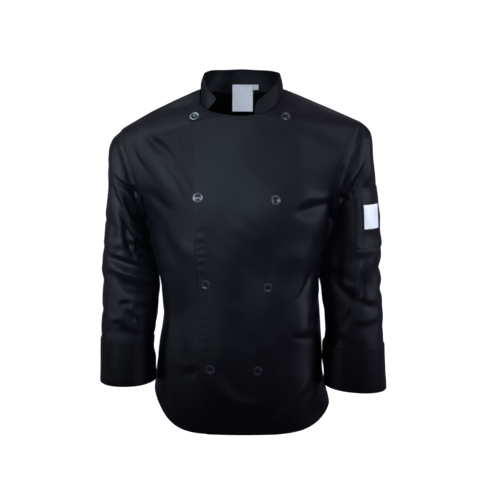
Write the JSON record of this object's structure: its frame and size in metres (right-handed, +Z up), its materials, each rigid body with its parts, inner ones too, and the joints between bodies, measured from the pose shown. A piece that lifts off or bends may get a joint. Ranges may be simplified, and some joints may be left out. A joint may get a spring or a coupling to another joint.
{
  "type": "chef jacket",
  "caption": "Long-sleeved double-breasted chef jacket in worn, hollow form, with a stand collar, turned-back cuffs, a narrow sleeve pocket and two columns of buttons.",
  "frame": {"origin": "Middle of the neck, between the two points where the shoulder seams meet the collar, where the wearer's neck holds the jacket up", "axes": "+Z up along the wearer's spine, -Y the way the wearer faces, +X the wearer's left"},
  "size_m": [0.6139, 0.2568, 0.7528],
  "materials": {
    "body_twill": "black cotton twill, matt with a faint cool sheen",
    "collar_twill": "black cotton twill, two layers, edge stitched",
    "cuff_twill": "black cotton twill, two layers, edge stitched",
    "label": "white woven ribbon, bare",
    "button": "black moulded, smooth"
  },
  "bodies": {
    "root": {"back_right_upper": "body_twill", "back_right_lower": "body_twill", "back_left_upper": "body_twill", "back_left_lower": "body_twill", "front_right_upper": "body_twill", "front_right_lower": "body_twill", "front_left_upper": "body_twill", "front_left_lower": "body_twill", "sleeve_right_upper": "body_twill", "sleeve_right_lower": "body_twill", "sleeve_left_upper": "body_twill", "sleeve_left_lower": "body_twill", "sleeve_pocket": "body_twill", "collar": "collar_twill", "cuff_right": "cuff_twill", "cuff_left": "cuff_twill", "sleeve_label": "label", "neck_label": "label", "size_tab": "label", "button_right_1": "button", "button_right_2": "button", "button_right_3": "button", "button_right_4": "button", "button_left_1": "button", "button_left_2": "button", "button_left_3": "button", "button_left_4": "button"}
  },
  "joints": []
}
